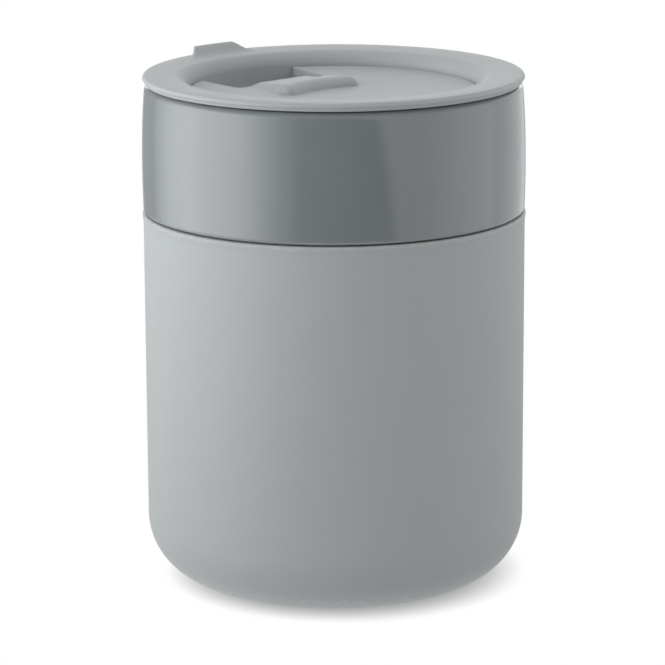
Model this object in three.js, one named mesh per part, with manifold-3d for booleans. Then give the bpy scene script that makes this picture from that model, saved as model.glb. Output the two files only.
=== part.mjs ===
// A lidded travel mug: a glazed ceramic cup standing in a silicone sleeve, closed by a press-in lid
// whose twist dial opens and shuts the sip hole.
// Millimetres, +Z up, origin at the middle of the base. The drinking side faces +Y.

import * as THREE from 'three';
import { mergeVertices } from 'three/addons/utils/BufferGeometryUtils.js';
import Module from 'manifold-3d';

const wasm = await Module();
wasm.setup();

// Clearances
const fitGap = 0.3;            // between pieces that seat on each other
const runGap = 0.2;            // round the post that turns in the cap

// Ceramic cup
const bandRadius = 45;         // the bare glazed band at its widest
const bandTopDrop = 0.65;      // how far the band draws in under the rim
const bandFootDrop = 0.12;     // how far it draws in above its lower edge
const bandFoot = 88.7;         // height of the band's lower edge
const bandFootRound = 0.8;
const rimHeight = 118.45;
const rimWall = 3.95;
const rimEdge = 1.1;           // rounding of the rim's outer edge
const rimRound = 1.6;          // and of its inner edge
const cupWall = 4.8;
const cupFloor = 6;
const cupCorner = 10;          // rounding between the cup's inner wall and floor
const cupFootRadius = 21;      // hollow under the cup, inside its foot ring
const cupFootDepth = 0.9;
const stepRise = 4;            // how far below the band the inner wall has reached its lower radius

// Silicone sleeve
const sleeveInset = 0.12;      // the sleeve's radius below the band's
const sleeveWall = 2.2;
const sleeveFloor = 2.6;
const sleeveCorner = 15;       // rounding at the foot
const seamGap = 0.3;           // open seam between the sleeve and the band
const sleeveLipFlare = 0.2;
const sleeveLipHeight = 2.4;
const sleeveLipRound = 0.6;
const footHollowRadius = 19;
const footHollowDepth = 0.8;

// Lid cap
const flangeInset = 0.34;      // the flange's radius below the band's
const flangeSide = 0.7;        // height of the flange's widest line above its underside
const flangeLean = 0.4;        // how far its side leans in below that line
const flangeEdge = 0.3;        // rounding of its lower edge
const flangeTopRound = 1.65;   // rounding of its upper edge, up to the ring
const ringDip = 0.3;           // fall of the ring towards the bowl
const ringRound = 3.3;         // rounding from the ring down into the bowl
const plugClear = 2;           // from the plug to the cup's mouth
const grooveDepth = 1.7;
const grooveHeight = 5;
const grooveDrop = 2.4;        // groove below the flange
const capWall = 2.6;
const capFloor = 2.2;
const bossWall = 3;
const bossDrop = 1.9;
const plugReach = 0.6;         // plug's foot below the post's end
const plugChamfer = 0.8;
const lipRise = 1.65;          // drinking lip above the ring
const lipReach = 5;            // from the flange's edge to the foot of the lip's hollow side
const lipWidth = 12.6;
const lipRamp = 2.6;           // run of each sloped end, from the lip's top to its root
const lipRound = 0.7;
const sipWidth = 20;
const sipDepth = 8;
const sipCorner = 2.5;

// Twist dial
const dialDrop = 4.1;          // dial's rim below the ring
const dialDish = 1;            // middle of the dial's face below its rim
const dialPlate = 2.2;
const dialSkirt = 1.8;
const dialEdge = 0.5;
const hubWall = 2.4;
const slotWidth = 27.6;        // at its inner end
const slotFlare = 1.5;         // widening of each side out to the band's radius
const slotInner = 18;          // from the axis to the slot's inner end
const slotCorner = 1.6;
const finWidth = 22.8;
const finFront = 4.9;          // from the axis to the middle of the fin's front face
const finBow = 2.4;            // how far the fin's ends bend forward
const finRun = 1.8;            // front face to crest
const finHeight = 1.1;         // crest above the dial's rim
const finTail = 0.1;           // end of the ramp at the slot, above the dial's rim
const postRadius = 3.6;
const postHead = 1.2;
const neckDepth = 1;           // depth of the clip's neck in the post

// Seals and clip
const sealThickness = 1.5;
const wiperEdge = 0.7;         // thickness of a gasket's wiping fin at its edge
const wiperRoot = 1.7;         // and at its root
const gasketProud = 0.35;      // gasket body standing out of its groove
const cordRadius = 0.7;        // radius of the O-ring's section
const cordSlack = 0.1;
const clipThickness = 1.2;
const clipRadius = 6;

// Facets round a full turn
const roundSteps = 48;
const smallSteps = 24;

// Radii, from the outside in
const bandTopRadius = bandRadius - bandTopDrop;
const bandFootRadius = bandRadius - bandFootDrop;
const sleeveRadius = bandRadius - sleeveInset;
const sleeveInner = sleeveRadius - sleeveWall;
const sleeveInnerCorner = sleeveCorner - sleeveWall;
const neckRadius = sleeveInner - fitGap;
const cavityRadius = neckRadius - cupWall;
const mouthRadius = bandTopRadius - rimWall;
const flangeRadius = bandRadius - flangeInset;
const plugRadius = mouthRadius - plugClear;
const grooveRadius = plugRadius - grooveDepth;
const bowlRadius = grooveRadius - capWall;
const dialRadius = bowlRadius - fitGap;
const pocketRadius = dialRadius - dialSkirt;
const hubRadius = postRadius + hubWall;
const boreRadius = postRadius + runGap;
const bossRadius = boreRadius + bossWall;
const neckOfPost = postRadius - neckDepth;

// Heights, from the base up and then down through the lid
const sleeveTop = bandFoot - seamGap;
const cupFoot = sleeveFloor + fitGap;
const cavityFloor = cupFoot + cupFloor;
const flangeFoot = rimHeight + fitGap;
const ringTop = flangeFoot + flangeSide + flangeTopRound;
const lipTop = ringTop + lipRise;
const dialTop = ringTop - dialDrop;
const plateFoot = dialTop - dialPlate;
const sealTop = plateFoot - fitGap;
const sealFoot = sealTop - sealThickness;
const bowlFloor = sealFoot - fitGap;
const dialFoot = bowlFloor + fitGap;
const floorFoot = bowlFloor - capFloor;
const bossFoot = floorFoot - bossDrop;
const clipTop = bossFoot - fitGap;
const clipFoot = clipTop - clipThickness;
const postFoot = clipFoot - fitGap - postHead;
const plugFoot = postFoot - plugReach;
const grooveTop = flangeFoot - grooveDrop;
const grooveFoot = grooveTop - grooveHeight;
const cordHeight = (bossFoot + bowlFloor) / 2;

const quarter = Math.PI / 2;

// One point of a lathe outline: distance from the axis, height
function at(radius, height) {
  return new THREE.Vector2(radius, height);
}

// Points along a round stretch of an outline, between two angles in quarter turns
function arc(radius, height, size, from, to, steps) {
  const curve = new THREE.EllipseCurve(radius, height, size, size, from * quarter, to * quarter, to < from);
  return curve.getPoints(steps);
}

// Points along an S-bend or bow between two points, leaving and arriving along their handles
function bend(start, startHandle, endHandle, end, steps) {
  return new THREE.CubicBezierCurve(start, startHandle, endHandle, end).getPoints(steps);
}

// Body of revolution about Z from an outline that runs anticlockwise
function turned(outline, steps = roundSteps) {
  return new THREE.LatheGeometry(outline, steps).rotateX(quarter);
}

// Closed outline carried straight up from one height to another
function raised(shape, low, high, curveSegments = 4) {
  const settings = { depth: high - low, bevelEnabled: false, curveSegments };
  return new THREE.ExtrudeGeometry(shape, settings).translate(0, 0, low);
}

// Solid for joining and cutting, from a closed geometry
function solid(geometry) {
  geometry.deleteAttribute('normal');
  geometry.deleteAttribute('uv');
  const merged = mergeVertices(geometry, 1e-4);
  const index = Array.from(merged.index.array);
  const triVerts = [];
  for (let i = 0; i < index.length; i += 3) {
    const [a, b, c] = index.slice(i, i + 3);
    if (a !== b && b !== c && c !== a) {
      triVerts.push(a, b, c);
    }
  }
  return new wasm.Manifold(new wasm.Mesh({
    numProp: 3,
    vertProperties: Float32Array.from(merged.attributes.position.array),
    triVerts: Uint32Array.from(triVerts),
  }));
}

// Geometry of a joined or cut solid
function surface(body) {
  const mesh = body.getMesh();
  const geometry = new THREE.BufferGeometry();
  geometry.setAttribute('position', new THREE.BufferAttribute(mesh.vertProperties, 3));
  geometry.setIndex(new THREE.BufferAttribute(mesh.triVerts, 1));
  geometry.computeVertexNormals();
  return geometry;
}

// Silicone sleeve: a round-cornered boot with a slightly flared top edge and a hollow under its foot
function sleeve() {
  const lipRadius = sleeveRadius + sleeveLipFlare;
  const lipStart = sleeveTop - sleeveLipHeight;
  const innerCorner = sleeveInnerCorner;
  return turned([
    at(0, footHollowDepth),
    at(footHollowRadius, footHollowDepth),
    at(footHollowRadius + footHollowDepth, 0),
    ...arc(sleeveRadius - sleeveCorner, sleeveCorner, sleeveCorner, -1, 0, 7),
    at(sleeveRadius, lipStart),
    ...arc(lipRadius - sleeveLipRound, sleeveTop - sleeveLipRound, sleeveLipRound, 0, 1, 3),
    ...arc(sleeveInner + sleeveLipRound, sleeveTop - sleeveLipRound, sleeveLipRound, 1, 2, 3),
    ...arc(sleeveInner - innerCorner, sleeveFloor + innerCorner, innerCorner, 0, -1, 7),
    at(0, sleeveFloor),
  ]);
}

// Ceramic cup: a narrow body that stands in the sleeve, and a wider band above it up to the rim
function cup() {
  const footCorner = sleeveInnerCorner - fitGap;
  const bandLow = at(bandFootRadius, bandFoot + bandFootRound);
  const bandHigh = at(bandTopRadius, rimHeight - rimEdge);
  const bow = (bandHigh.y - bandLow.y) / 3;
  const bowRadius = (8 * bandRadius - bandLow.x - bandHigh.x) / 6;
  const stepTop = at(mouthRadius, plugFoot - plugClear);
  const stepFoot = at(cavityRadius, bandFoot - stepRise);
  const stepMiddle = (stepTop.y + stepFoot.y) / 2;
  return turned([
    at(0, cupFoot + cupFootDepth),
    at(cupFootRadius, cupFoot + cupFootDepth),
    at(cupFootRadius + cupFootDepth, cupFoot),
    ...arc(neckRadius - footCorner, cupFoot + footCorner, footCorner, -1, 0, 7),
    at(neckRadius, bandFoot),
    ...arc(bandFootRadius - bandFootRound, bandFoot + bandFootRound, bandFootRound, -1, 0, 3).slice(0, -1),
    ...bend(bandLow, at(bowRadius, bandLow.y + bow), at(bowRadius, bandHigh.y - bow), bandHigh, 6),
    ...arc(bandTopRadius - rimEdge, rimHeight - rimEdge, rimEdge, 0, 1, 2).slice(1),
    ...arc(mouthRadius + rimRound, rimHeight - rimRound, rimRound, 1, 2, 3),
    ...bend(stepTop, at(mouthRadius, stepMiddle), at(cavityRadius, stepMiddle), stepFoot, 5),
    ...arc(cavityRadius - cupCorner, cavityFloor + cupCorner, cupCorner, 0, -1, 5),
    at(0, cavityFloor),
  ]);
}

// Drinking lip: a low wall on the flange's outer edge, hollow on its inner side, with sloped ends
function drinkingLip() {
  const root = flangeFoot + flangeSide;
  const inner = at(flangeRadius - lipReach, ringTop - lipRound);
  const outer = flangeRadius - lipRound / 2;
  const wall = solid(turned([
    at(inner.x, root),
    at(flangeRadius, root),
    ...arc(outer - lipRound, lipTop - lipRound, lipRound, 0, 1, 3),
    ...bend(
      at(outer - 2 * lipRound, lipTop - lipRound / 4),
      at(outer - 4 * lipRound, ringTop),
      at(outer - 5 * lipRound, ringTop),
      inner,
      4,
    ),
    at(inner.x, root),
  ]));
  const half = lipWidth / 2;
  const foot = half + lipRamp;
  const slope = half + lipRamp / 2;
  const face = new THREE.Shape();
  face.moveTo(-foot, root);
  face.lineTo(foot, root);
  face.bezierCurveTo(slope, root, slope, lipTop, half, lipTop);
  face.lineTo(-half, lipTop);
  face.bezierCurveTo(-slope, lipTop, -slope, root, -foot, root);
  const bell = new THREE.ExtrudeGeometry(face, { depth: bandRadius, bevelEnabled: false, curveSegments: 4 });
  bell.rotateX(quarter).translate(0, bandRadius, 0);
  return wall.intersect(solid(bell));
}

// Round-cornered hole through the bowl's floor, under the dial's slot
function sipHole() {
  const half = sipWidth / 2 - sipCorner;
  const middle = (slotInner + bowlRadius) / 2;
  const reach = sipDepth / 2 - sipCorner;
  const outline = new THREE.Shape();
  outline.absarc(half, middle - reach, sipCorner, -quarter, 0, false);
  outline.absarc(half, middle + reach, sipCorner, 0, quarter, false);
  outline.absarc(-half, middle + reach, sipCorner, quarter, 2 * quarter, false);
  outline.absarc(-half, middle - reach, sipCorner, 2 * quarter, 3 * quarter, false);
  return solid(raised(outline, floorFoot - capFloor, bowlFloor + capFloor, 6));
}

// Lid cap: flat ring, bowl with a bored floor, and a plug with a gasket groove
function cap() {
  const widest = at(flangeRadius, flangeFoot + flangeSide);
  const lowEdge = arc(flangeRadius - flangeLean - flangeEdge, flangeFoot + flangeEdge, flangeEdge, -1, 0, 2);
  const sideFoot = lowEdge.at(-1);
  const topEdge = arc(flangeRadius - flangeTopRound, widest.y, flangeTopRound, 0, 1, 4);
  const brink = at(bowlRadius + ringRound, ringTop - ringDip);
  const body = solid(turned([
    at(boreRadius, bossFoot),
    at(bossRadius, bossFoot),
    at(bossRadius, floorFoot),
    at(bowlRadius, floorFoot),
    at(bowlRadius, plugFoot),
    at(plugRadius - plugChamfer, plugFoot),
    at(plugRadius, plugFoot + plugChamfer),
    at(plugRadius, grooveFoot),
    at(grooveRadius, grooveFoot),
    at(grooveRadius, grooveTop),
    at(plugRadius, grooveTop),
    at(plugRadius, flangeFoot),
    ...lowEdge,
    ...bend(sideFoot, at(flangeRadius - flangeLean / 3, sideFoot.y + flangeEdge), widest, widest, 3).slice(1),
    ...topEdge.slice(1),
    ...arc(brink.x, brink.y - ringRound, ringRound, 1, 2, 6),
    at(bowlRadius, bowlFloor),
    at(boreRadius, bowlFloor),
    at(boreRadius, bossFoot),
  ]));
  return surface(body.add(drinkingLip()).subtract(sipHole()));
}

// Lid gasket: a ring held in the plug's groove, with two fins that wipe the cup's mouth
function gasket() {
  const inner = grooveRadius + fitGap / 2;
  const core = plugRadius + gasketProud;
  const tip = mouthRadius - fitGap;
  const low = grooveFoot + fitGap / 2;
  const high = grooveTop - fitGap / 2;
  const pitch = (high - low - wiperRoot) / 2;
  const wipers = [low + wiperRoot / 2, low + wiperRoot / 2 + 2 * pitch].flatMap((middle) => [
    at(core, middle - wiperRoot / 2),
    at(tip, middle - wiperEdge / 2),
    at(tip, middle + wiperEdge / 2),
    at(core, middle + wiperRoot / 2),
  ]);
  return turned([at(inner, low), ...wipers, at(inner, high), at(inner, low)]);
}

// Slot through the dial, open at its rim; grown outwards for the walls and seal round it
function slot(grow, low, high) {
  const half = slotWidth / 2 + grow;
  const inner = slotInner - grow;
  const corner = slotCorner + grow;
  const outline = new THREE.Shape();
  outline.moveTo(half + slotFlare, bandRadius);
  outline.lineTo(-half - slotFlare, bandRadius);
  outline.absarc(corner - half, inner + corner, corner, 2 * quarter, 3 * quarter, false);
  outline.absarc(half - corner, inner + corner, corner, 3 * quarter, 4 * quarter, false);
  return solid(raised(outline, low, high));
}

// Thumb fin: a steep front face across the axis, bowed forward at its ends, and a ramp down to the slot
function thumbFin() {
  const base = dialTop - dialDish;
  const root = (base + plateFoot) / 2;
  const half = finWidth / 2;
  const crest = finFront + finRun;
  const back = slotInner + slotCorner + finBow;
  const side = new THREE.Shape();
  side.moveTo(finFront, root);
  side.lineTo(back, root);
  side.lineTo(back, dialTop + finTail);
  side.bezierCurveTo(
    slotInner - finRun, dialTop + finTail,
    crest + 2 * finRun, dialTop + finHeight,
    crest, dialTop + finHeight,
  );
  side.bezierCurveTo(
    crest - finRun / 2, dialTop + finHeight,
    finFront + finRun / 4, (base + dialTop + finHeight) / 2,
    finFront, base,
  );
  const steps = 16;
  const settings = { depth: finWidth, steps, bevelEnabled: false, curveSegments: 5 };
  const along = new THREE.ExtrudeGeometry(side, settings);
  along.rotateX(quarter).rotateZ(quarter).translate(-half, 0, 0);
  const place = along.attributes.position;
  for (let i = 0; i < place.count; i += 1) {
    place.setY(i, place.getY(i) - finBow * (place.getX(i) / half) ** 2);
  }

  const arch = new THREE.Shape();
  arch.moveTo(-half, root);
  arch.lineTo(half, root);
  for (let i = 0; i <= steps; i += 1) {
    const across = Math.cos(i * Math.PI / steps);
    const rise = Math.sqrt(1 - Math.abs(across) ** 5);
    arch.lineTo(half * across, base + (dialDish + finHeight) * rise);
  }
  const reach = back + finRun;
  const over = new THREE.ExtrudeGeometry(arch, { depth: reach, bevelEnabled: false });
  over.rotateX(quarter).translate(0, reach - finBow, 0);
  return solid(along).intersect(solid(over));
}

// Twist dial: a disc with a slot at its rim, a thumb fin on top and a pivot post below
function dial() {
  const clipGap = fitGap / 2;
  const cordGroove = postRadius - 2 * cordRadius - cordSlack;
  const cordReach = cordRadius + cordSlack;
  const face = dialRadius - dialEdge;
  const shares = [1, 0.75, 0.5, 0.25, 0];
  const dish = shares.map((share) => at(face * share, dialTop - dialDish * (1 - share ** 2)));
  const disc = solid(turned([
    at(0, dialFoot),
    at(dialRadius, dialFoot),
    at(dialRadius, dialTop - dialEdge),
    ...dish,
  ]));
  const post = solid(turned([
    at(0, postFoot),
    at(neckOfPost, postFoot),
    at(postRadius - cordSlack, clipFoot - clipGap),
    at(neckOfPost, clipFoot - clipGap),
    at(neckOfPost, clipTop + clipGap),
    at(postRadius, clipTop + clipGap),
    at(postRadius, cordHeight - cordReach),
    at(cordGroove, cordHeight - cordReach),
    at(cordGroove, cordHeight + cordReach),
    at(postRadius, cordHeight + cordReach),
    at(postRadius, plateFoot),
    at(0, plateFoot),
  ], smallSteps));
  const pocket = solid(turned([
    at(hubRadius, dialFoot - sealThickness),
    at(pocketRadius, dialFoot - sealThickness),
    at(pocketRadius, plateFoot),
    at(hubRadius, plateFoot),
    at(hubRadius, dialFoot - sealThickness),
  ])).subtract(slot(dialSkirt, dialFoot - dialDrop, dialTop));
  const body = disc.add(thumbFin()).subtract(pocket).add(post);
  return surface(body.subtract(slot(0, dialFoot - dialDrop, ringTop + finHeight)));
}

// Dial seal: a flat silicone pad in the dial's pocket, cut away round the slot
function dialSeal() {
  const pad = solid(turned([
    at(hubRadius + fitGap, sealFoot),
    at(pocketRadius - fitGap, sealFoot),
    at(pocketRadius - fitGap, sealTop),
    at(hubRadius + fitGap, sealTop),
    at(hubRadius + fitGap, sealFoot),
  ]));
  return surface(pad.subtract(slot(dialSkirt + fitGap, sealFoot - sealThickness, sealTop + sealThickness)));
}

// O-ring: round cord in a groove of the post, inside the cap's bore
function postRing() {
  const middle = postRadius - cordRadius - cordSlack / 2;
  return new THREE.TorusGeometry(middle, cordRadius, 8, smallSteps).translate(0, 0, cordHeight);
}

// Retaining clip: an open ring snapped round the post's neck under the boss
function retainingClip() {
  const inner = neckOfPost + fitGap / 2;
  const mouth = Math.asin(0.8 * neckOfPost / clipRadius);
  const throat = Math.asin(0.8 * neckOfPost / inner);
  const outline = new THREE.Shape();
  outline.absarc(0, 0, clipRadius, mouth - quarter, 3 * quarter - mouth, false);
  outline.absarc(0, 0, inner, 3 * quarter - throat, throat - quarter, true);
  return raised(outline, clipFoot, clipTop, smallSteps / 2);
}

// Finishes
function finish(color, roughness) {
  return new THREE.MeshStandardMaterial({ color, roughness, metalness: 0 });
}

const pieces = [
  ['silicone_sleeve', sleeve(), finish('#a2a6a7', 0.8)],
  ['ceramic_cup', cup(), finish('#7f8587', 0.12)],
  ['lid_cap', cap(), finish('#abafb0', 0.6)],
  ['lid_gasket', gasket(), finish('#8f9495', 0.75)],
  ['twist_dial', dial(), finish('#abafb0', 0.6)],
  ['dial_seal', dialSeal(), finish('#8f9495', 0.75)],
  ['post_o_ring', postRing(), finish('#6c7071', 0.7)],
  ['retaining_clip', retainingClip(), finish('#c9cccd', 0.45)],
];

const mug = new THREE.Group();
for (const [name, geometry, material] of pieces) {
  const mesh = new THREE.Mesh(geometry, material);
  mesh.name = name;
  mug.add(mesh);
}

export default mug;
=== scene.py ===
import math

import bmesh
import bpy
import numpy as np
from mathutils import Matrix, Vector


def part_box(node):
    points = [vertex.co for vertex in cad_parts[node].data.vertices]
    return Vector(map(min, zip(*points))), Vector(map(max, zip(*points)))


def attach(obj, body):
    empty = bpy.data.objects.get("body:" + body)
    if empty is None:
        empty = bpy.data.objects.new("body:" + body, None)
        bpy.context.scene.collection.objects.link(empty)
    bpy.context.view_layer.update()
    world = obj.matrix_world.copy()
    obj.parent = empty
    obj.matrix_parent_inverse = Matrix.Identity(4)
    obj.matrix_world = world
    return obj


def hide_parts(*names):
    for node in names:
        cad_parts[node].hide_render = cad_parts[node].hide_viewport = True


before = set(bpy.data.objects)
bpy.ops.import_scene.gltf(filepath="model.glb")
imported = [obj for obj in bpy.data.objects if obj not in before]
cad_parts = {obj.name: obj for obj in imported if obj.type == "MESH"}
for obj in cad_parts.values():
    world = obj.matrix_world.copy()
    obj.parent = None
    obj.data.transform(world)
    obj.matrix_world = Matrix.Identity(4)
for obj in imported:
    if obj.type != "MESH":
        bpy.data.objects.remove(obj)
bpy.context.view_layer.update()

# Silicone sleeve
# A soft boot about 2 mm thick, compression moulded in one piece from dull grey silicone.
# It is stretched over the cup and holds by its own grip, and the mug stands on its round foot.

mm = 0.001
even_turn = np.linspace(0, 2 * math.pi, 288, endpoint=False)


def straight(start, end, pitch=1.0 * mm):
    """Points on a line in equal steps no longer than the pitch: start + t (end - start), t from 0 to 1."""
    start, end = np.array(start), np.array(end)
    steps = max(1, math.ceil(np.linalg.norm(end - start) / pitch))
    return start + np.linspace(0, 1, steps + 1)[:, None] * (end - start)


def arc(radius, height, size, start, end, steps=10):
    """Points on a circle: (radius + size cos a, height + size sin a), a from start to end in degrees."""
    turn = np.radians(np.linspace(start, end, steps + 1))
    return np.column_stack([radius + size * np.cos(turn), height + size * np.sin(turn)])


def ease(start, end, steps=10):
    """Points on an S-bend upright at both ends: height goes evenly, and radius by half a cosine wave."""
    along = np.linspace(0, 1, steps + 1)
    swing = (1 - np.cos(math.pi * along)) / 2
    return np.column_stack([
        start[0] + swing * (end[0] - start[0]),
        start[1] + along * (end[1] - start[1]),
    ])


def grid_faces(rows, columns, wrap_rows=False, wrap_columns=False):
    """Four-cornered faces between the neighbours of a grid of points numbered row by row."""
    index = np.arange(rows * columns).reshape(rows, columns)
    if wrap_rows:
        index = np.vstack([index, index[:1]])
    if wrap_columns:
        index = np.hstack([index, index[:, :1]])
    corners = [index[:-1, :-1], index[:-1, 1:], index[1:, 1:], index[1:, :-1]]
    return np.column_stack([corner.ravel() for corner in corners])


def shade(piece, crease=35):
    """Smooth shading, broken where two faces meet at more than the crease angle in degrees."""
    piece.data.shade_smooth()
    piece.data.set_sharp_from_angle(angle=math.radians(crease))


def made(name, points, faces):
    """A piece from its points and faces. Points in one place become one, which closes seams and poles."""
    mesh = bpy.data.meshes.new(name)
    mesh.from_pydata(points.reshape(-1, 3), [], faces.tolist())
    work = bmesh.new()
    work.from_mesh(mesh)
    bmesh.ops.remove_doubles(work, verts=work.verts, dist=0.0005 * mm)
    work.to_mesh(mesh)
    work.free()
    piece = bpy.data.objects.new(name, mesh)
    bpy.context.scene.collection.objects.link(piece)
    shade(piece)
    return piece


def turned(name, outline, closed=False, angle=even_turn):
    """Body of revolution: an outline point (r, z) at the angle a lies at (r cos a, r sin a, z).

    The outline runs anticlockwise, with the axis on its left. It ends on the axis, or closes on itself.
    It is one row of points, or a grid with a point for each angle where the shape changes round the axis.
    """
    if outline.ndim == 2:
        outline = outline[:, None]
    radius, height = outline[..., 0], outline[..., 1]
    points = np.stack([
        radius * np.cos(angle),
        radius * np.sin(angle),
        height + 0 * angle,
    ], axis=-1)
    return made(name, points, grid_faces(len(outline), len(angle), wrap_rows=closed, wrap_columns=True))


class Wire:
    """A socket in a shader. Adding, subtracting and multiplying wires and numbers adds Math nodes."""

    def __init__(self, tree, socket):
        self.tree = tree
        self.socket = socket

    def node(self, kind, settings, sockets, output=0):
        """Any node, from its type, its settings and the values or wires of its sockets.

        Gives the wire of one output.
        """
        new = self.tree.nodes.new(kind)
        for name, value in settings.items():
            setattr(new, name, value)
        for name, value in sockets.items():
            if isinstance(value, Wire):
                self.tree.links.new(value.socket, new.inputs[name])
            else:
                new.inputs[name].default_value = value
        return Wire(self.tree, new.outputs[output])

    def math(self, operation, first, second):
        """The result of a Math node."""
        return self.node("ShaderNodeMath", {"operation": operation}, {0: first, 1: second})

    def __add__(self, other):
        return self.math("ADD", self, other)

    def __sub__(self, other):
        return self.math("SUBTRACT", self, other)

    def __mul__(self, other):
        return self.math("MULTIPLY", self, other)

    def __rsub__(self, other):
        return self.math("SUBTRACT", other, self)

    __radd__ = __add__
    __rmul__ = __mul__

    def between(self, low, high):
        """0 below low, 1 above high, and a smooth step between them."""
        sockets = {"Value": self, "From Min": low, "From Max": high}
        return self.node("ShaderNodeMapRange", {"interpolation_type": "SMOOTHSTEP"}, sockets)

    def mix(self, first, second):
        """One colour where this wire is 0, another where it is 1."""
        return self.node("ShaderNodeMix", {"data_type": "RGBA"}, {0: self, 6: first, 7: second}, 2)

    def noise(self, size, detail=2.0):
        """Cloudy noise from 0 to 1 whose blots measure about one size across."""
        sockets = {"Vector": self, "Scale": 1 / size, "Detail": detail}
        return self.node("ShaderNodeTexNoise", {}, sockets)

    def part(self, axis):
        """One coordinate of a vector."""
        return self.node("ShaderNodeSeparateXYZ", {}, {0: self}, axis)

    def bump(self, depth):
        """Surface normal of a relief whose height is this wire times the depth."""
        return self.node("ShaderNodeBump", {}, {"Height": self, "Strength": 1.0, "Distance": depth})

    def feeds(self, shader, name):
        """Link this wire to a socket of a shader."""
        self.tree.links.new(self.socket, shader.inputs[name])


def new_finish(name, constants):
    """A material, its surface shader with some sockets set, and the wire of the object's coordinates."""
    material = bpy.data.materials.new(name)
    material.use_nodes = True
    tree = material.node_tree
    shader = tree.nodes["Principled BSDF"]
    for socket, value in constants.items():
        shader.inputs[socket].default_value = value
    coordinates = tree.nodes.new("ShaderNodeTexCoord")
    return material, shader, Wire(tree, coordinates.outputs["Object"])


sleeve_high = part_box("silicone_sleeve")[1]
sleeve_top = sleeve_high.z
sleeve_wall = 2.2 * mm
sleeve_floor = 2.6 * mm
sleeve_corner = 15 * mm
edge_flare = 0.2 * mm
edge_height = 2.4 * mm
edge_round = 0.6 * mm
edge_middle = sleeve_top - edge_round
sleeve_radius = sleeve_high.x - edge_flare
sleeve_inner = sleeve_radius - sleeve_wall
inner_corner = sleeve_corner - sleeve_wall
inner_bend = sleeve_floor + inner_corner
foot_hollow_radius = 19 * mm
foot_hollow_depth = 0.8 * mm
foot_hollow_round = 0.7 * mm
foot_hollow_flat = foot_hollow_radius - foot_hollow_round
foot_land = foot_hollow_radius + 2 * foot_hollow_round

sleeve_outline = np.vstack([
    straight((0, foot_hollow_depth), (foot_hollow_flat, foot_hollow_depth), pitch=3 * mm),
    arc(foot_hollow_flat, foot_hollow_depth - foot_hollow_round, foot_hollow_round, 90, 45, steps=4),
    arc(foot_land, foot_hollow_round, foot_hollow_round, -135, -90, steps=4),
    arc(sleeve_radius - sleeve_corner, sleeve_corner, sleeve_corner, -90, 0, steps=36),
    straight((sleeve_radius, sleeve_corner), (sleeve_radius, sleeve_top - edge_height), pitch=1.5 * mm)[1:],
    ease((sleeve_radius, sleeve_top - edge_height), (sleeve_high.x, edge_middle), steps=8)[1:],
    arc(sleeve_high.x - edge_round, edge_middle, edge_round, 0, 90)[1:],
    arc(sleeve_inner + edge_round, edge_middle, edge_round, 90, 180),
    straight((sleeve_inner, edge_middle), (sleeve_inner, inner_bend), pitch=3 * mm)[1:],
    arc(sleeve_inner - inner_corner, inner_bend, inner_corner, 0, -90, steps=24)[1:],
    straight((sleeve_inner - inner_corner, sleeve_floor), (0, sleeve_floor), pitch=4 * mm)[1:],
])
sleeve = turned("silicone_boot", sleeve_outline)

silicone_grey = (0.334, 0.355, 0.361, 1)
silicone_pale = (0.354, 0.373, 0.379, 1)
silicone_scuffed = (0.43, 0.45, 0.455, 1)


def sleeve_silicone():
    """Dull silicone: cloudy grey with a fine dry grain, rubbed smoother round its foot and its top edge."""
    constants = {"IOR": 1.41, "Sheen Weight": 0.12, "Sheen Roughness": 0.4}
    material, shader, place = new_finish("sleeve_silicone", constants)
    height = place.part(2)
    cloud = place.noise(22 * mm, 4)
    grain = place.noise(0.16 * mm)
    rubbed_edge = height.between(sleeve_top - 1.5 * mm, sleeve_top)
    rubbed = 1 - height.between(1 * mm, 7 * mm) + rubbed_edge
    scuffs = rubbed * place.noise(1.6 * mm, 4).between(0.45, 0.75)
    tone = cloud.mix(silicone_grey, silicone_pale)
    scuffs.mix(tone, silicone_scuffed).feeds(shader, "Base Color")
    (0.66 + 0.08 * cloud - 0.1 * rubbed).feeds(shader, "Roughness")
    (grain + 1.5 * scuffs).bump(0.006 * mm).feeds(shader, "Normal")
    return material


sleeve.data.materials.append(sleeve_silicone())
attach(sleeve, "sleeve")
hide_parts("silicone_sleeve")

# Ceramic cup
# A slip-cast stoneware cup, glazed grey inside and out except for the ring that it stands on in the kiln.
# Its narrow body drops into the sleeve, and only the wider band under the rim shows.


def bend(start, start_handle, end_handle, end, steps):
    """Points on a cubic curve from start to end that leaves and arrives along its two handles."""
    t = np.linspace(0, 1, steps + 1)[:, None]
    s = 1 - t
    curve = [s**3 * start, 3 * s**2 * t * start_handle, 3 * s * t**2 * end_handle, t**3 * end]
    return sum(curve)


def at(radius, height):
    """A point of an outline: its distance from the axis and its height."""
    return np.array([radius, height])


fit_gap = 0.3 * mm
cup_low, cup_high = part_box("ceramic_cup")
cup_foot, rim_height = cup_low.z, cup_high.z
band_bulge = 0.12 * mm
band_taper = 0.65 * mm
band_radius = sleeve_radius + band_bulge
band_foot = sleeve_top + fit_gap
band_foot_round = 0.8 * mm
band_foot_radius = band_radius - band_bulge
band_top_radius = band_radius - band_taper
rim_edge = 1.6 * mm
rim_round = 1.6 * mm
rim_wall = 3.95 * mm
mouth_radius = band_top_radius - rim_wall
mouth_depth = 14.6 * mm
neck_radius = sleeve_inner - fit_gap
neck_pool = 0.4 * mm
cup_wall = 4.8 * mm
cup_floor = 6 * mm
cavity_radius = neck_radius - cup_wall
cavity_floor = cup_foot + cup_floor
cavity_corner = 10 * mm
cavity_bend = cavity_floor + cavity_corner
foot_corner = inner_corner - fit_gap
foot_ring_radius = 21 * mm
foot_ring_slope = 1 * mm
foot_ring_start = foot_ring_radius - 0.4 * mm
foot_ring_depth = 0.9 * mm
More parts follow.
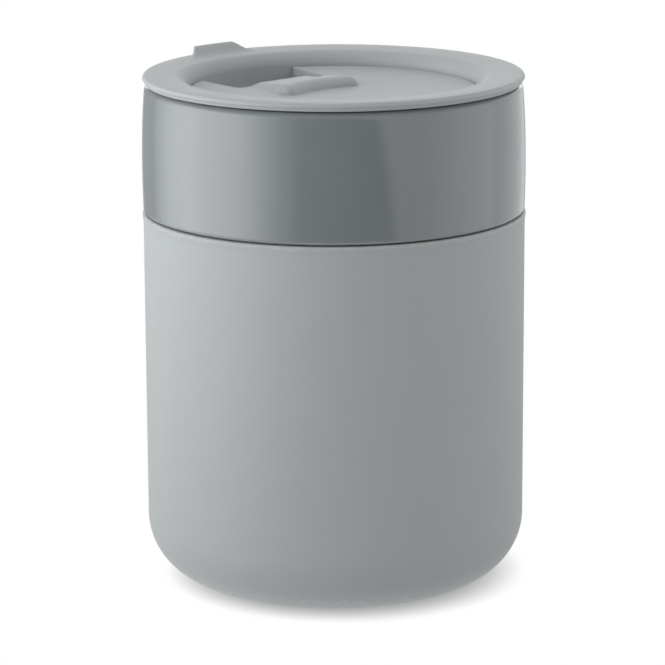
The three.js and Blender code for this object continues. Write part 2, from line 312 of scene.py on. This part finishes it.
recess = cup_foot + foot_ring_depth
step_drop = 4 * mm
step_low = at(cavity_radius, band_foot - step_drop)
step_high = at(mouth_radius, rim_height - mouth_depth)
step_bow = at(0, (step_high[1] - step_low[1]) / 2)
band_low = at(band_foot_radius, band_foot + band_foot_round)
band_high = at(band_top_radius, rim_height - rim_edge)

# Handles at this radius bring the middle of the band's curve out to the band's radius.
bow_radius = (8 * band_radius - band_low[0] - band_high[0]) / 6
bow_rise = (band_high[1] - band_low[1]) / 3
bow_low = at(bow_radius, band_low[1] + bow_rise)
bow_high = at(bow_radius, band_high[1] - bow_rise)

cup_outline = np.vstack([
    straight((0, recess), (foot_ring_radius - foot_ring_slope, recess), pitch=3 * mm),
    ease((foot_ring_start, recess), (foot_ring_radius + foot_ring_slope, cup_foot), steps=6),
    arc(neck_radius - foot_corner, cup_foot + foot_corner, foot_corner, -90, 0, steps=24),
    straight((neck_radius, cup_foot + foot_corner), (neck_radius, band_foot - neck_pool), pitch=3 * mm)[1:],
    arc(neck_radius + neck_pool, band_foot - neck_pool, neck_pool, 180, 90, steps=5)[1:],
    arc(band_foot_radius - band_foot_round, band_foot + band_foot_round, band_foot_round, -90, 0, steps=14),
    bend(band_low, bow_low, bow_high, band_high, steps=40)[1:],
    arc(band_top_radius - rim_edge, rim_height - rim_edge, rim_edge, 0, 90, steps=6)[1:],
    arc(mouth_radius + rim_round, rim_height - rim_round, rim_round, 90, 180, steps=12),
    straight((mouth_radius, rim_height - rim_round), step_high, pitch=2 * mm)[1:],
    bend(step_high, step_high - step_bow, step_low + step_bow, step_low, steps=20)[1:],
    straight(step_low, (cavity_radius, cavity_bend), pitch=3 * mm)[1:],
    arc(cavity_radius - cavity_corner, cavity_bend, cavity_corner, 0, -90, steps=18)[1:],
    straight((cavity_radius - cavity_corner, cavity_floor), (0, cavity_floor), pitch=3 * mm)[1:],
])
cup = turned("glazed_cup", cup_outline)

glaze_grey = (0.168, 0.188, 0.197, 1)
glaze_pooled = (0.182, 0.202, 0.211, 1)
glaze_thin = (0.27, 0.285, 0.285, 1)
clay_buff = (0.55, 0.51, 0.45, 1)
clay_pale = (0.68, 0.64, 0.57, 1)


def cup_glaze():
    """Glossy grey glaze: it pools and wanders a little, thins over edges and leaves the foot ring bare."""
    material, shader, place = new_finish("cup_glaze", {"IOR": 1.52})
    height = place.part(2)
    pooling = place.noise(9 * mm, 5)
    ripple = place.noise(14 * mm, 1)
    pits = place.noise(0.5 * mm, 1).between(0.7, 0.8)
    rim = height.between(rim_height - 0.35 * mm, rim_height - 0.05 * mm)
    heel = height.between(band_foot - 1 * mm, band_foot) - height.between(band_foot, band_foot + 0.9 * mm)
    thin = (rim + heel) * (0.5 + 0.5 * pooling)
    bare = 1 - height.between(cup_foot + 0.15 * mm, cup_foot + 0.5 * mm)
    glaze = thin.mix(pooling.mix(glaze_grey, glaze_pooled), glaze_thin)
    clay = place.noise(0.7 * mm, 4).mix(clay_buff, clay_pale)
    bare.mix(glaze, clay).feeds(shader, "Base Color")
    (0.1 + 0.03 * pooling + 0.1 * pits + 0.7 * bare).feeds(shader, "Roughness")
    (2.2 * ripple + 0.05 * pooling - 0.04 * pits).bump(0.05 * mm).feeds(shader, "Normal")
    return material


cup.data.materials.append(cup_glaze())
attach(cup, "cup")
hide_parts("ceramic_cup")

# Lid cap
# An injection-moulded plastic cap: a flat ring, a bowl for the dial and a plug that presses into the cup.
# Its drinking lip rises from the ring's outer edge, and the sip hole goes through the bowl's floor below it.

cap_low, cap_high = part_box("lid_cap")
plug_foot, lip_top = cap_low.z, cap_high.z
flange_radius = cap_high.x
flange_foot = rim_height + fit_gap
flange_side = 1.1 * mm
flange_lean = 0.45 * mm
flange_edge = 0.5 * mm
shoulder_round = 0.9 * mm
crest_inset = 3.3 * mm
ring_top = flange_foot + flange_side + shoulder_round
ring_dip = 0.3 * mm
ring_round = 3.3 * mm
plug_gap = 2 * mm
plug_radius = mouth_radius - plug_gap
plug_chamfer = 0.8 * mm
groove_depth = 1.7 * mm
groove_height = 5 * mm
groove_drop = 2.4 * mm
groove_radius = plug_radius - groove_depth
groove_top = flange_foot - groove_drop
groove_foot = groove_top - groove_height
bowl_wall = 2.6 * mm
bowl_depth = 6.05 * mm
bowl_fillet = 0.5 * mm
bowl_radius = groove_radius - bowl_wall
bowl_floor = flange_foot - bowl_depth
floor_wall = 2.2 * mm
floor_foot = bowl_floor - floor_wall
bore_radius = 3.8 * mm
boss_wall = 3 * mm
boss_height = 1.9 * mm
boss_radius = bore_radius + boss_wall
boss_foot = floor_foot - boss_height
soft_edge = 0.35 * mm
flange_root = at(plug_radius + soft_edge, flange_foot)
side_foot = at(flange_radius - flange_lean, flange_foot + flange_edge)
side_handle = side_foot + at(flange_lean * 2 / 3, flange_edge)
widest = at(flange_radius, flange_foot + flange_side)
brink = at(bowl_radius + ring_round, ring_top - ring_dip)
crest = at(flange_radius - crest_inset, ring_top)
bore_edge = at(bore_radius + soft_edge, bowl_floor)

cap_under = np.vstack([
    arc(bore_radius + soft_edge, boss_foot + soft_edge, soft_edge, 180, 270, steps=4),
    arc(boss_radius - soft_edge, boss_foot + soft_edge, soft_edge, -90, 0, steps=4),
    arc(boss_radius + soft_edge, floor_foot - soft_edge, soft_edge, 180, 90, steps=4),
    arc(bowl_radius - soft_edge, floor_foot - soft_edge, soft_edge, 90, 0, steps=4),
    arc(bowl_radius + soft_edge, plug_foot + soft_edge, soft_edge, 180, 270, steps=4),
    arc(plug_radius - plug_chamfer, plug_foot + plug_chamfer, plug_chamfer, -90, 0, steps=6),
    arc(plug_radius - soft_edge, groove_foot - soft_edge, soft_edge, 0, 90, steps=4),
    straight((groove_radius, groove_foot), (groove_radius, groove_top), pitch=2.5 * mm),
    arc(plug_radius - soft_edge, groove_top + soft_edge, soft_edge, -90, 0, steps=4),
    arc(plug_radius + soft_edge, flange_foot - soft_edge, soft_edge, 180, 90, steps=4),
    straight(flange_root, side_foot - at(flange_edge, flange_edge), pitch=2 * mm)[1:],
    arc(side_foot[0] - flange_edge, side_foot[1], flange_edge, -90, 0, steps=6)[1:],
    bend(side_foot, side_handle, widest, widest, steps=10)[1:-1],
])
ring_side = np.vstack([
    arc(widest[0] - shoulder_round, widest[1], shoulder_round, 0, 90, steps=16),
    straight((flange_radius - shoulder_round, ring_top), crest, pitch=0.2 * mm)[1:],
])
ring_inside = straight(crest, brink, pitch=0.25 * mm)[1:]
cap_bowl = np.vstack([
    arc(brink[0], brink[1] - ring_round, ring_round, 90, 180, steps=24)[1:],
    straight((bowl_radius, brink[1] - ring_round), (bowl_radius, bowl_floor + bowl_fillet))[1:],
    arc(bowl_radius - bowl_fillet, bowl_floor + bowl_fillet, bowl_fillet, 0, -90, steps=5)[1:],
    straight((bowl_radius - bowl_fillet, bowl_floor), bore_edge, pitch=2 * mm)[1:],
    arc(bore_edge[0], bowl_floor - soft_edge, soft_edge, 90, 180, steps=4)[1:],
])

lip_round = 0.7 * mm
lip_lean = 0.35 * mm
lip_swell = 0.7 * mm
lip_outer = flange_radius - lip_lean
lip_crest = crest + at(0, lip_swell)
lip_back = at(lip_outer - lip_round, lip_top)
lip_back_handle = at(lip_outer - 1.3 * mm, lip_top)
lip_crest_handle = lip_crest + at(0.6 * mm, 0.42 * mm)
lip_foot_radius = 38.9 * mm
lip_half = 5.6 * mm
lip_flare = 0.85
lip_ramp = 0.8 * mm
lip_ramp_flare = 0.45
lip_side = np.vstack([
    straight(widest, (lip_outer, lip_top - lip_round), pitch=0.3 * mm),
    arc(lip_outer - lip_round, lip_top - lip_round, lip_round, 0, 90)[1:],
    bend(lip_back, lip_back_handle, lip_crest_handle, lip_crest, steps=16)[1:],
])


def spaced(line, count):
    """The same line with another number of points, at equal distances along it."""
    length = np.append(0, np.cumsum(np.linalg.norm(np.diff(line, axis=0), axis=1)))
    even = np.linspace(0, length[-1], count)
    return np.column_stack([np.interp(even, length, line[:, axis]) for axis in (0, 1)])


def smooth(share):
    """Smooth step: 3 s^2 - 2 s^3, with s held between 0 and 1."""
    held = np.clip(share, 0, 1)
    return held**2 * (3 - 2 * held)


side_points = 44
lift = np.clip((ring_inside[:, 0] - lip_foot_radius) / (crest[0] - lip_foot_radius), 0, 1) ** 2
lip_inside = ring_inside + np.column_stack([0 * lift, lift * lip_swell])
plain = np.vstack([cap_under, spaced(ring_side, side_points), ring_inside, cap_bowl])
lipped = np.vstack([cap_under, spaced(lip_side, side_points), lip_inside, cap_bowl])

# Over the lip's width the plain outline goes over into the lipped one, with closer columns there.
# Further in from the edge the lip is wider and its ends fade out more softly.
lip_window = math.radians(13)
lip_columns = 121
cap_turn = np.union1d(even_turn, math.pi / 2 + np.linspace(-lip_window, lip_window, lip_columns))
inwards = flange_radius - lipped[:, :1]
ramp = lip_ramp + lip_ramp_flare * inwards
reach = lip_half + lip_flare * inwards + ramp / 2 - np.abs(lipped[:, :1] * np.cos(cap_turn))
lip_share = smooth(reach / ramp) * (np.sin(cap_turn) > 0)
cap_outline = plain[:, None] + lip_share[:, :, None] * (lipped - plain)[:, None]
cap = turned("lid_shell", cap_outline, closed=True, angle=cap_turn)


def slab(name, outline, foot, edge, top, shares):
    """Body with walls all round between an underside and a top.

    For an inset, the outline gives a loop of points anticlockwise: one edge, then the opposite edge back.
    Foot rows (inset, height) go from the underside out and up, and edge rows (inset, depth below the top) in.
    Underside and top are ruled: their points divide the lines from one edge to the other in the given shares.
    """
    half = len(outline(0)) // 2
    under_shares = np.linspace(1, 0, 25)

    def ruled(inset, parts):
        """Points that divide the lines between the two edges."""
        loop = outline(inset)
        return loop[:half] + parts[:, None, None] * (loop[:half - 1:-1] - loop[:half])

    def placed(flat, height):
        """Flat points with their height as a third coordinate."""
        return np.concatenate([flat, np.broadcast_to(height, flat.shape[:-1])[..., None]], axis=-1)

    under = placed(ruled(foot[0][0], under_shares), foot[0][1])
    low_rows = [placed(outline(inset), height) for inset, height in foot]
    high_rows = [placed(outline(inset), top(*outline(inset).T) - depth) for inset, depth in edge]
    wall = np.array(low_rows + high_rows)
    cover = ruled(edge[-1][0], shares)
    cover = placed(cover, top(cover[..., 0], cover[..., 1]))
    faces = [
        grid_faces(*under.shape[:2]),
        grid_faces(*wall.shape[:2], wrap_columns=True) + under.size // 3,
        grid_faces(*cover.shape[:2]) + (under.size + wall.size) // 3,
    ]
    points = np.vstack([surface.reshape(-1, 3) for surface in (under, wall, cover)])
    return made(name, points, np.vstack(faces))


def flat_top(height):
    """A top that has the same height everywhere."""
    return lambda x, y: np.full(np.shape(x), height)


def rolled(size):
    """Rows of a quarter circle from a wall to a face: inset size (1 - cos a), depth size (1 - sin a)."""
    turn = np.radians(np.linspace(0, 90, 7))
    return size * np.column_stack([1 - np.cos(turn), 1 - np.sin(turn)])


def carve(piece, tool, operation):
    """Cut a piece with a tool or join the tool to it. The tool's object is used up."""
    change = piece.modifiers.new("carve", "BOOLEAN")
    change.object = tool
    change.operation = operation
    change.solver = "EXACT"
    bpy.context.view_layer.update()
    result = bpy.data.meshes.new_from_object(piece.evaluated_get(bpy.context.evaluated_depsgraph_get()))
    piece.modifiers.remove(change)
    piece.data = result
    bpy.data.objects.remove(tool)
    shade(piece)


sip_half = 10 * mm
sip_reach = 4 * mm
sip_corner = 2.5 * mm
sip_edge = 0.5 * mm
slot_inner = 18 * mm
sip_middle = (slot_inner + bowl_radius) / 2


def sip_loop(grow):
    """Rectangle with round corners, grown outwards: four quarter circles joined by straight sides."""
    size = sip_corner + grow
    far = sip_reach - sip_corner
    wide = sip_half - sip_corner
    return np.vstack([
        arc(-wide, sip_middle - far, size, 180, 270, steps=8),
        arc(wide, sip_middle - far, size, 270, 360, steps=8),
        arc(wide, sip_middle + far, size, 0, 90, steps=8),
        arc(-wide, sip_middle + far, size, 90, 180, steps=8),
    ])


sip_foot = [(sip_edge, floor_foot - sip_edge)]
sip_foot += [(grow, floor_foot + depth) for grow, depth in rolled(sip_edge)[::-1]]
sip_rim = [(grow, sip_edge + depth) for grow, depth in rolled(sip_edge)]
sip_rim += [(sip_edge, 0)]
sip_top = flat_top(bowl_floor + sip_edge)
carve(cap, slab("sip_cutter", sip_loop, sip_foot, sip_rim, sip_top, np.linspace(0, 1, 9)), "DIFFERENCE")

plastic_grey = (0.338, 0.36, 0.366, 1)
plastic_pale = (0.356, 0.375, 0.381, 1)
plastic_rubbed = (0.348, 0.369, 0.375, 1)


def lid_plastic():
    """Matte moulded plastic: even grey with a fine spark-eroded grain, polished where lips and thumbs rub."""
    material, shader, place = new_finish("lid_plastic", {"IOR": 1.47})
    height = place.part(2)
    cloud = place.noise(16 * mm, 3)
    grain = place.noise(0.22 * mm)
    rubbed = height.between(ring_top - 0.4 * mm, lip_top) * place.noise(5 * mm, 3).between(0.35, 0.7)
    tone = cloud.mix(plastic_grey, plastic_pale)
    rubbed.mix(tone, plastic_rubbed).feeds(shader, "Base Color")
    (0.58 + 0.06 * cloud - 0.08 * rubbed).feeds(shader, "Roughness")
    (grain - 0.4 * rubbed * grain).bump(0.007 * mm).feeds(shader, "Normal")
    return material


lid_finish = lid_plastic()
cap.data.materials.clear()
cap.data.materials.append(lid_finish)
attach(cap, "lid")
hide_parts("lid_cap")

# Lid gasket
# A silicone ring stretched into the groove round the plug, moulded with two thin fins.
# The fins bend against the cup's mouth, which seals the lid and holds it by friction.

gasket_slack = fit_gap / 2
gasket_proud = 0.35 * mm
gasket_inner = groove_radius + gasket_slack
gasket_core = plug_radius + gasket_proud
gasket_foot = groove_foot + gasket_slack
gasket_top = groove_top - gasket_slack
wiper_tip = mouth_radius - fit_gap
wiper_edge = 0.35 * mm
wiper_root = 0.85 * mm
wiper_handle = at(0.6 * mm, 0)


def wiper(middle):
    """Outline of one fin: it bends out of the core, narrows to its round edge and comes back."""
    low = at(gasket_core, middle - wiper_root)
    high = at(gasket_core, middle + wiper_root)
    edge = arc(wiper_tip - wiper_edge, middle, wiper_edge, -90, 90, steps=8)
    return np.vstack([
        bend(low, low + wiper_handle, edge[0] - wiper_handle, edge[0], steps=6),
        edge[1:-1],
        bend(edge[-1], edge[-1] - wiper_handle, high + wiper_handle, high, steps=6),
    ])


gasket_outline = np.vstack([
    straight((gasket_inner, gasket_top), (gasket_inner, gasket_foot)),
    wiper(gasket_foot + wiper_root),
    wiper(gasket_top - wiper_root),
])
gasket = turned("wiper_gasket", gasket_outline, closed=True)

seal_grey = (0.262, 0.282, 0.292, 1)
seal_mottled = (0.28, 0.298, 0.307, 1)
seal_dust = (0.4, 0.41, 0.41, 1)


def seal_silicone():
    """Satin seal silicone: dark grey, faintly mottled, with a fine skin and tiny specks of dust."""
    constants = {"IOR": 1.41, "Sheen Weight": 0.08, "Sheen Roughness": 0.4}
    material, shader, place = new_finish("seal_silicone", constants)
    mottle = place.noise(4 * mm, 4)
    specks = place.noise(0.5 * mm, 2).between(0.66, 0.74)
    tone = mottle.mix(seal_grey, seal_mottled)
    (0.5 * specks).mix(tone, seal_dust).feeds(shader, "Base Color")
    (0.46 + 0.1 * mottle + 0.1 * specks).feeds(shader, "Roughness")
    (place.noise(0.12 * mm) + 0.5 * specks).bump(0.004 * mm).feeds(shader, "Normal")
    return material


seal_finish = seal_silicone()
gasket.data.materials.append(seal_finish)
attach(gasket, "lid")
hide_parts("lid_gasket")

# Twist dial
# A disc moulded from the lid's plastic, with a slot at its rim, a thumb fin across it and a pivot post below.
# Its post passes through the cap's bore, so a quarter turn moves the slot away from the sip hole.

dial_radius = bowl_radius - fit_gap
dial_drop = 3.75 * mm
dial_top = ring_top - dial_drop
dial_dish = 1 * mm
dial_edge = 0.35 * mm
dial_foot = bowl_floor + fit_gap
plate_wall = 2.2 * mm
plate_foot = dial_top - plate_wall
dial_skirt = 1.8 * mm
slot_half = 13.8 * mm
slot_flare = 0.7 * mm
slot_corner = 1.6 * mm
fin_half = 11.4 * mm
fin_front = 4.8 * mm
fin_bow = 2.9 * mm
fin_run = 3 * mm
fin_end = 2.4 * mm
fin_height = 2.15 * mm
fin_tail = 0.8 * mm

# The rim has as many points as the slot's side, corner, inner end, corner and side, which lie across from it.
side_steps = 45
corner_steps = 20
inner_steps = 150
rim_knots = np.cumsum([0, side_steps, corner_steps, inner_steps, corner_steps, side_steps])
corner_turn = math.radians(32)


def horseshoe(inset):
    """Outline of the dial shrunk by an inset: the rim's arc, then the slot's sides, corners and inner end."""
    radius, half = dial_radius - inset, slot_half + inset
    corner, inner = slot_corner + inset, slot_inner - inset
    tip = math.asin((half + slot_flare) / radius)
    stops = [
        math.pi / 2 + tip,
        math.pi,
        math.pi + corner_turn,
        2 * math.pi - corner_turn,
        2 * math.pi,
        5 * math.pi / 2 - tip,
    ]
    turn = np.interp(np.arange(rim_knots[-1] + 1), rim_knots, stops)
    rim = radius * np.column_stack([np.cos(turn), np.sin(turn)])
    side = np.linspace(0, 1, side_steps + 1)[:, None]
    across = np.linspace(0, 1, inner_steps + 1)[:, None]
    low = inner + corner
    slot = np.vstack([
        rim[-1] + side * (at(half, low) - rim[-1]),
        arc(half - corner, low, corner, 0, -90, corner_steps)[1:],
        (at(half - corner, inner) + across * at(2 * (corner - half), 0))[1:],
        arc(corner - half, low, corner, -90, -180, corner_steps)[1:],
        (at(-half, low) + side * (rim[0] - at(-half, low)))[1:],
    ])
    return np.vstack([rim, slot])


def dial_face(x, y):
    """Height of the dial's top: a shallow round dish with the thumb fin on it.

    The fin's front and ends roll over like a ball: the root of 1 - a^2 - b^2, where a and b are the shares
    of the way still to go from the front and from an end. Behind its crest the fin sinks in a smooth step
    down to the slot, and its sides spread into smooth steps too.
    """
    dish = dial_top - dial_dish * (1 - (x**2 + y**2) / dial_radius**2)
    front = fin_front - fin_bow * (x / fin_half) ** 2
    ahead = 1 - np.clip((y - front) / fin_run, 0, 1)
    fall = smooth((y - front - fin_run) / (slot_inner - fin_front - fin_run))
    inside = np.clip((fin_half - np.abs(x)) / (fin_end * (1 + fall)), 0, 1)
    ball = np.sqrt(np.clip(1 - ahead**2 - (1 - inside) ** 2, 0, 1))
    roll = ball + smooth(4 * fall) * (smooth(inside) - ball)
    return dish + roll * (fin_height + fall * (fin_tail - fin_height))


dial_rows = [
    (dial_skirt, plate_foot),
    (dial_skirt, dial_foot + soft_edge),
    (dial_skirt - soft_edge, dial_foot),
    (soft_edge, dial_foot),
    (0, dial_foot + soft_edge),
]

# The rows of points over the top lie closest together where the fin's front rises.
dial_shares = np.interp(np.arange(171), (0, 50, 140, 170), (0, 0.58, 0.84, 1))
dial = slab("turning_dial", horseshoe, dial_rows, rolled(dial_edge), dial_face, dial_shares)

hub_radius = 6 * mm
post_radius = 3.6 * mm
post_neck = 2.6 * mm
clip_thickness = 1.2 * mm
clip_top = boss_foot - fit_gap
clip_foot = clip_top - clip_thickness
clip_slack = fit_gap / 2
cord_radius = 0.7 * mm
cord_slack = 0.1 * mm
cord_height = (boss_foot + bowl_floor) / 2
cord_groove = post_radius - 2 * cord_radius - cord_slack
cord_half = cord_radius + cord_slack
head_edge = 0.2 * mm
head_height = 1.2 * mm
head_radius = post_radius - cord_slack
head_top = clip_foot - clip_slack
post_foot = clip_foot - fit_gap - head_height
post_root = (plate_foot + dial_top - dial_dish) / 2

post_outline = np.vstack([
    at(0, post_foot),
    arc(post_neck - head_edge, post_foot + head_edge, head_edge, -90, -40, steps=3),
    arc(head_radius - head_edge, head_top - head_edge, head_edge, -40, 90, steps=6),
    at(post_neck, head_top),
    at(post_neck, clip_top + clip_slack),
    arc(post_radius - head_edge, clip_top + clip_slack + head_edge, head_edge, -90, 0, steps=4),
    arc(post_radius - head_edge, cord_height - cord_half - head_edge, head_edge, 0, 90, steps=4),
    at(cord_groove, cord_height - cord_half),
    at(cord_groove, cord_height + cord_half),
    arc(post_radius - head_edge, cord_height + cord_half + head_edge, head_edge, -90, 0, steps=4),
    arc(post_radius + head_edge, dial_foot - head_edge, head_edge, 180, 90, steps=4),
    arc(hub_radius - soft_edge, dial_foot + soft_edge, soft_edge, -90, 0, steps=4),
    at(hub_radius, post_root),
    at(0, post_root),
])
carve(dial, turned("pivot_post", post_outline, angle=even_turn[::3]), "UNION")

dial.data.materials.clear()
dial.data.materials.append(lid_finish)
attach(dial, "dial")
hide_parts("twist_dial")

# Dial seal
# A flat silicone pad pressed into the pocket under the dial, cut away round the slot and the post.
# It slides on the bowl's floor and shuts the sip hole when the dial is turned.

seal_thickness = 1.5 * mm
seal_top = plate_foot - fit_gap
seal_foot = seal_top - seal_thickness
seal_inset = dial_skirt + fit_gap
seal_edge = 0.25 * mm
seal_rows = [(seal_inset + seal_edge, seal_foot), (seal_inset, seal_foot + seal_edge)]
seal_edges = [(seal_inset, seal_edge), (seal_inset + seal_edge, 0)]
seal = slab("seal_pad", horseshoe, seal_rows, seal_edges, flat_top(seal_top), np.linspace(0, 1, 25))
hub_hole = hub_radius + fit_gap
hub_outline = np.array([
    (0, seal_foot - seal_edge),
    (hub_hole, seal_foot - seal_edge),
    (hub_hole, seal_top + seal_edge),
    (0, seal_top + seal_edge),
])
carve(seal, turned("hub_cutter", hub_outline, angle=even_turn[::3]), "DIFFERENCE")
seal.data.materials.clear()
seal.data.materials.append(seal_finish)
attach(seal, "dial")
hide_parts("dial_seal")

# Post O-ring
# A moulded silicone cord ring rolled into the groove of the dial's post.
# It seals the bore and gives the dial its stiff, even turn.

cord_middle = post_radius - cord_radius - cord_slack / 2
ring = turned("post_ring", arc(cord_middle, cord_height, cord_radius, 0, 360, steps=24)[:-1], closed=True)
ring.data.materials.append(seal_finish)
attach(ring, "dial")
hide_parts("post_o_ring")

# Retaining clip
# An open ring of natural acetal plastic, snapped sideways onto the neck of the post under the cap's boss.
# It keeps the dial from being pulled out, and slides off for cleaning.

clip_radius = 6 * mm
clip_inner = post_neck + clip_slack
clip_mouth = 0.8 * post_neck
clip_edge = 0.2 * mm
clip_bend = 0.3 * clip_edge


def clip_loop(inset):
    """Open ring shrunk by an inset: its outer arc, then its inner arc back, with a parallel mouth."""
    mouth = clip_mouth + inset
    outer, inner = clip_radius - inset, clip_inner + inset
    ends = [math.degrees(math.asin(mouth / radius)) for radius in (outer, inner)]
    return np.vstack([
        arc(0, 0, outer, ends[0] - 90, 270 - ends[0], steps=72),
        arc(0, 0, inner, 270 - ends[1], ends[1] - 90, steps=72),
    ])


clip_rows = [(clip_edge, clip_foot), (clip_bend, clip_foot + clip_bend), (0, clip_foot + clip_edge)]
clip_edges = [(0, clip_edge), (clip_bend, clip_bend), (clip_edge, 0)]
clip = slab("snap_clip", clip_loop, clip_rows, clip_edges, flat_top(clip_top), np.linspace(0, 1, 9))

acetal_grey = (0.57, 0.59, 0.6, 1)
acetal_pale = (0.6, 0.615, 0.62, 1)


def clip_plastic():
    """Natural acetal: pale, slightly waxy plastic with faint flow lines from its gate and a satin skin."""
    material, shader, place = new_finish("clip_plastic", {"IOR": 1.48})
    flow = place.noise(2.2 * mm, 5)
    scratches = place.noise(0.3 * mm, 3).between(0.6, 0.75)
    flow.mix(acetal_grey, acetal_pale).feeds(shader, "Base Color")
    (0.34 + 0.08 * flow + 0.08 * scratches).feeds(shader, "Roughness")
    (flow + 0.4 * scratches).bump(0.006 * mm).feeds(shader, "Normal")
    return material


clip.data.materials.append(clip_plastic())
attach(clip, "dial")
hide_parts("retaining_clip")

# Studio
# A white table in a ring of soft lights: a broad bright box on the left, a weaker wall on the right, a strip
# behind and a dim light above. The camera stands across from the drinking lip, a little to one side of it,
# and looks through a long lens.

view_turn = math.radians(-42.5)
view_rise = math.radians(13.41)
view_roll = math.radians(-0.27)
view_distance = 800 * mm
view_target = Vector((-0.383, 0.351, 58.25)) * mm
view_sensor = 36
view_lens = 182.15

camera = bpy.data.objects.new("camera", bpy.data.cameras.new("camera"))
camera.data.sensor_width = view_sensor
camera.data.lens = view_lens
facing = Matrix.Rotation(view_turn, 4, "Z") @ Matrix.Rotation(math.pi / 2 - view_rise, 4, "X")
stand = Matrix.Translation(view_target + facing @ Vector((0, 0, view_distance)))
camera.matrix_world = stand @ facing @ Matrix.Rotation(view_roll, 4, "Z")
bpy.context.scene.collection.objects.link(camera)
bpy.context.scene.camera = camera

floor_radius = 300 * mm
floor_height = -0.05 * mm
floor = turned("floor", straight((floor_radius, floor_height), (0, floor_height), pitch=20 * mm))

table_white = (1, 1, 1, 1)
table_shade = (0.355, 0.36, 0.36, 1)
table_grey = (0.56, 0.56, 0.56, 1)
table_glow = (0.08, 0.08, 0.08, 1)
foot_glow = (0.6, 0.6, 0.6, 1)
unlit = (0, 0, 0, 1)
foot_glow_radius = 34 * mm
table_glow_radius = 56 * mm
shade_reach = 30 * mm
shade_gain = 2.03
light_lean = 0.2
light_side = Vector((-math.cos(view_turn), -math.sin(view_turn))) * light_lean


def ray_kinds(wire):
    """Three wires: 1 for a ray from the camera, 1 for a reflected ray and 1 for a ray through glass."""
    path = wire.tree.nodes.new("ShaderNodeLightPath")
    names = ("Is Camera Ray", "Is Glossy Ray", "Is Transmission Ray")
    return [Wire(wire.tree, path.outputs[name]) for name in names]


def white_table():
    """White table top. Seen directly it is white, and greyer where the mug covers over half of the near sky.

    Other rays find a light grey top that glows a little, most of all round the mug's foot.
    """
    constants = {"Roughness": 0.6, "IOR": 1.0, "Emission Strength": 1.0}
    material, shader, place = new_finish("white_table", constants)
    from_camera, from_gloss, through_glass = ray_kinds(place)
    direct = place.math("MINIMUM", from_camera + from_gloss + through_glass, 1.0)
    to_light = place.node("ShaderNodeCombineXYZ", {}, {"X": light_side.x, "Y": light_side.y, "Z": 1.0})
    sky_view = {"Distance": shade_reach, "Normal": to_light}
    open_sky = place.node("ShaderNodeAmbientOcclusion", {"samples": 32}, sky_view, 1)
    shaded = (shade_gain * open_sky).mix(table_shade, table_white)
    from_axis = place.node("ShaderNodeVectorMath", {"operation": "LENGTH"}, {0: place}, 1)
    glow = from_axis.between(foot_glow_radius, table_glow_radius).mix(foot_glow, table_glow)
    direct.mix(table_grey, unlit).feeds(shader, "Base Color")
    direct.mix(glow, shaded).feeds(shader, "Emission Color")
    return material


floor.data.materials.append(white_table())

world = bpy.data.worlds.new("studio")
world.use_nodes = True
sky_tree = world.node_tree
sky = Wire(sky_tree, sky_tree.nodes.new("ShaderNodeTexCoord").outputs["Generated"])

# Degrees round the mug from the camera, rightwards and leftwards, and height from -1 below to 1 above.
to_right = sky.part(0) * math.cos(view_turn) + sky.part(1) * math.sin(view_turn)
to_camera = sky.part(0) * math.sin(view_turn) - sky.part(1) * math.cos(view_turn)
rightwards = sky.math("ARCTAN2", to_right, to_camera) * (180 / math.pi)
leftwards = 0 - rightwards
height = sky.part(2)
upper = height.between(-0.03, 0.03)
overhead = height.between(0.42, 0.62)


def stretch(wire, rise, fall):
    """1 between two soft edges and 0 outside them, each edge given by where it starts and where it ends."""
    return wire.between(*rise) - wire.between(*fall)


# The soft edges in degrees where one light goes over into the next.
right_corner = (105, 115)
right_end = (158, 166)
left_corner = (132, 137)
left_end = (162, 168)

# The box on the left swells towards its middle and has a second, weaker band at its far end.
left_panel = 0.35 * stretch(leftwards, (20, 25), left_corner)
left_swell = 3.65 * stretch(leftwards, (20, 66), (92, 135))
left_band = 0.4 * stretch(leftwards, (105, 118), (133, 137))
left_box = left_panel + left_swell + left_band

# The wall on the right gets brighter away from the camera. Its near edge leans: higher up it comes closer.
wall_lean = 36
wall_level = -0.22
leaning = rightwards + wall_lean * (height - wall_level)
wall_near = 0.9928 * (leaning.between(31, 39) - rightwards.between(*right_corner))
wall_rise = 0.5848 * stretch(rightwards, (45, 85), right_corner)
right_wall = wall_near + wall_rise

# Past the corners, plain sides lead to the back. There a strip shines above the horizon, and below it
# the white backdrop lies between two dimmer cards.
right_back = 1.1 * stretch(rightwards, right_corner, right_end)
left_back = 0.35 * stretch(leftwards, left_corner, left_end)
behind = rightwards.between(*right_end) + leftwards.between(*left_end)
straight_behind = rightwards.between(170, 174) + leftwards.between(172, 176)
backdrop = straight_behind * (1 - upper)
edge_cards = 0.6 * (behind - straight_behind) * (1 - upper)
back_light = 2.2 * behind * upper

top_light = 0.735
around = left_box + right_wall + right_back + left_back + edge_cards + back_light + backdrop
light = (1 - overhead) * around + overhead * top_light
from_camera, from_gloss, through_glass = ray_kinds(sky)
white = from_camera + backdrop * (from_gloss + through_glass)
shown = light + white * (1 - light)
shown.feeds(sky_tree.nodes["Background"], "Color")
bpy.context.scene.world = world
bpy.context.scene.view_settings.view_transform = "Standard"
